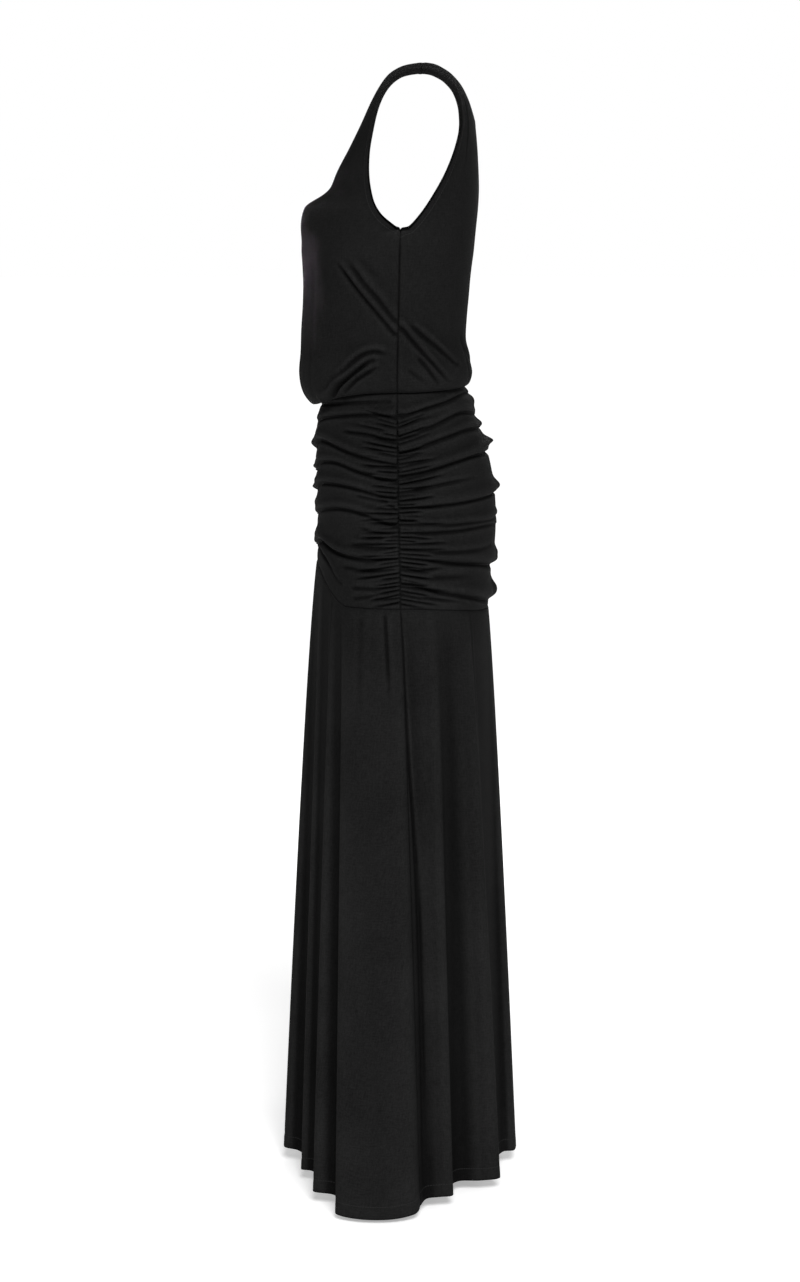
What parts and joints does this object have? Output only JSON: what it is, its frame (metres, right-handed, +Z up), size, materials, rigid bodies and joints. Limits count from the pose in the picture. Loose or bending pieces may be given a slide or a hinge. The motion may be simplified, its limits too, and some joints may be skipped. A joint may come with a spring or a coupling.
{
  "type": "maxi dress",
  "caption": "Sleeveless jersey maxi dress, filled out as worn: V neck, bloused bodice, ruched hip panel and a long flared skirt in soft folds.",
  "frame": {"origin": "midway between the shoulder seams, at the height of their neck ends, where the wearer's shoulders hold the dress up", "axes": "+Z up, -Y towards the front of the dress, +X towards the wearer's left"},
  "size_m": [0.534, 0.309, 1.4262],
  "materials": {
    "jersey": "soft black jersey knit with a faint satin sheen",
    "ruched_jersey": "the same black jersey, gathered into ruched folds"
  },
  "bodies": {
    "root": {"bodice_front": "jersey", "bodice_back": "jersey", "hip_panel_front": "ruched_jersey", "hip_panel_back": "ruched_jersey", "skirt_front": "jersey", "skirt_back": "jersey"}
  },
  "joints": []
}
